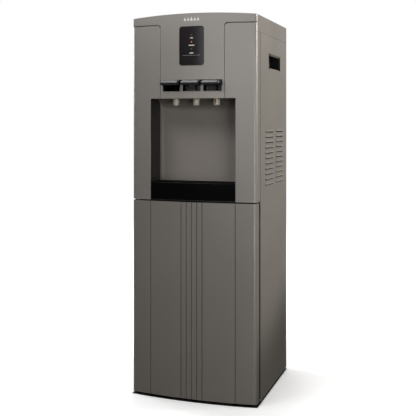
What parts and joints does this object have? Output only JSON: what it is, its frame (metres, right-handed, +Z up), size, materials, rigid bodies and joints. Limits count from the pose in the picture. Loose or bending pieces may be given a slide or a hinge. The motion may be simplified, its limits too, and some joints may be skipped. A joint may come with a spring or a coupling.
{
  "type": "water dispenser",
  "caption": "Floor-standing water dispenser with push keys over a tap niche, a drip tray, and a hinged lower door over the bottle bay.",
  "frame": {"origin": "centre of the object's outline on the floor", "axes": "+Z up, the front with the taps faces -Y, +X to the right seen from the front"},
  "size_m": [0.3628, 0.377, 1.0505],
  "materials": {
    "cabinet_paint": "satin metallic grey coat on steel",
    "body_plastic": "satin metallic grey",
    "door_plastic": "satin metallic grey",
    "liner_plastic": "fine matt texture",
    "lens_black": "polished",
    "gloss_black": "polished",
    "matt_black": "fine matt texture",
    "key_silver": "metallic silver",
    "nozzle_metal": "polished",
    "rubber_black": "matt",
    "zinc_steel": "zinc plated sheet",
    "stainless": "brushed",
    "copper": "dull copper",
    "foam_white": "expanded bead foam",
    "board_green": "solder mask",
    "black_enamel": "black enamel",
    "hose_clear": "translucent silicone",
    "probe_plastic": "food grade plastic",
    "switch_red": "polished",
    "switch_green": "polished"
  },
  "bodies": {
    "cabinet": {"base_pan": "zinc_steel", "rubber_feet": "rubber_black", "side_panel_left": "cabinet_paint", "side_panel_right": "cabinet_paint", "handle_cup_left": "matt_black", "handle_cup_right": "matt_black", "top_cover": "body_plastic", "front_frame": "body_plastic", "control_fascia": "body_plastic", "display_lens": "lens_black", "display_board": "board_green", "key_housing": "matt_black", "niche_liner": "liner_plastic", "deck_shelf": "zinc_steel", "tank_shelf": "zinc_steel", "bay_floor": "matt_black", "bay_back_panel": "zinc_steel", "rear_cover": "cabinet_paint", "rear_screws": "zinc_steel", "hinge_bracket_top": "zinc_steel", "hinge_bracket_bottom": "zinc_steel", "tap_body_cold": "matt_black", "tap_body_ambient": "matt_black", "tap_body_hot": "matt_black", "nozzle_cold": "nozzle_metal", "nozzle_ambient": "nozzle_metal", "nozzle_hot": "nozzle_metal", "cold_tank": "stainless", "cold_tank_foam": "foam_white", "evaporator_coil": "copper", "hot_tank": "stainless", "hot_tank_jacket": "foam_white", "thermostats": "matt_black", "compressor": "black_enamel", "compressor_mounts": "rubber_black", "refrigerant_lines": "copper", "condenser": "black_enamel", "water_pump": "matt_black", "water_lines": "hose_clear", "bottle_probe": "probe_plastic", "power_box": "matt_black", "rocker_housings": "matt_black"},
    "door": {"door_skin": "door_plastic", "door_inner_panel": "matt_black", "door_gasket": "rubber_black"},
    "cold_key": {"key_lever_cold": "matt_black", "key_cap_cold": "key_silver"},
    "cold_stem": {"valve_stem_cold": "stainless"},
    "ambient_key": {"key_lever_ambient": "matt_black", "key_cap_ambient": "key_silver"},
    "ambient_stem": {"valve_stem_ambient": "stainless"},
    "hot_key": {"key_lever_hot": "matt_black", "key_cap_hot": "key_silver"},
    "hot_stem": {"valve_stem_hot": "stainless"},
    "lock_button": {"child_lock": "key_silver"},
    "tray": {"drip_tray": "gloss_black"},
    "grille": {"drip_grille": "gloss_black"},
    "heat_switch": {"rocker_heat": "switch_red"},
    "cool_switch": {"rocker_cool": "switch_green"},
    "spout_cap": {"drain_cap": "rubber_black"}
  },
  "joints": [
    {"name": "door_hinge", "type": "hinge", "parent": "cabinet", "child": "door", "pos_m": [-0.166, -0.1465, 0.27], "axis": [0, 0, -1], "range_deg": [0, 110]},
    {"name": "cold_key_press", "type": "hinge", "parent": "cabinet", "child": "cold_key", "pos_m": [-0.059, -0.1485, 0.86], "axis": [1, 0, 0], "range_deg": [0, 6], "stiffness_Nm_per_rad": 0.4, "springref_deg": -5.73},
    {"name": "cold_stem_lift", "type": "slide", "parent": "cabinet", "child": "cold_stem", "axis": [0, 0, 1], "range_m": [0, 0.0019], "stiffness_N_per_m": 20, "springref_m": 0.0058},
    {"name": "ambient_key_press", "type": "hinge", "parent": "cabinet", "child": "ambient_key", "pos_m": [0, -0.1485, 0.86], "axis": [1, 0, 0], "range_deg": [0, 6], "stiffness_Nm_per_rad": 0.4, "springref_deg": -5.73},
    {"name": "ambient_stem_lift", "type": "slide", "parent": "cabinet", "child": "ambient_stem", "axis": [0, 0, 1], "range_m": [0, 0.0019], "stiffness_N_per_m": 20, "springref_m": 0.0058},
    {"name": "hot_key_press", "type": "hinge", "parent": "cabinet", "child": "hot_key", "pos_m": [0.059, -0.1485, 0.86], "axis": [1, 0, 0], "range_deg": [0, 6], "stiffness_Nm_per_rad": 0.4, "springref_deg": -5.73},
    {"name": "hot_stem_lift", "type": "slide", "parent": "cabinet", "child": "hot_stem", "axis": [0, 0, 1], "range_m": [0, 0.0019], "stiffness_N_per_m": 20, "springref_m": 0.0058},
    {"name": "lock_button_push", "type": "slide", "parent": "hot_key", "child": "lock_button", "axis": [0, 1, 0], "range_m": [0, 0.003], "stiffness_N_per_m": 400, "springref_m": -0.002},
    {"name": "tray_slide", "type": "slide", "parent": "cabinet", "child": "tray", "axis": [0, -1, 0], "range_m": [0, 0.08]},
    {"name": "grille_lift", "type": "slide", "parent": "tray", "child": "grille", "axis": [0, 0, 1], "range_m": [0, 0.05]},
    {"name": "heat_switch_tilt", "type": "hinge", "parent": "cabinet", "child": "heat_switch", "pos_m": [0.1, 0.1715, 0.93], "axis": [1, 0, 0], "range_deg": [-16, 0]},
    {"name": "cool_switch_tilt", "type": "hinge", "parent": "cabinet", "child": "cool_switch", "pos_m": [0.134, 0.1715, 0.93], "axis": [1, 0, 0], "range_deg": [-16, 0]},
    {"name": "spout_cap_turn", "type": "hinge", "parent": "cabinet", "child": "spout_cap", "pos_m": [-0.09, 0.1815, 0.5654], "axis": [0, 1, 0], "continuous": true}
  ],
  "couplings": [
    {"joint": "cold_stem_lift", "follows": "cold_key_press", "m_per_rad": 0.018},
    {"joint": "ambient_stem_lift", "follows": "ambient_key_press", "m_per_rad": 0.018},
    {"joint": "hot_stem_lift", "follows": "hot_key_press", "m_per_rad": 0.018}
  ]
}
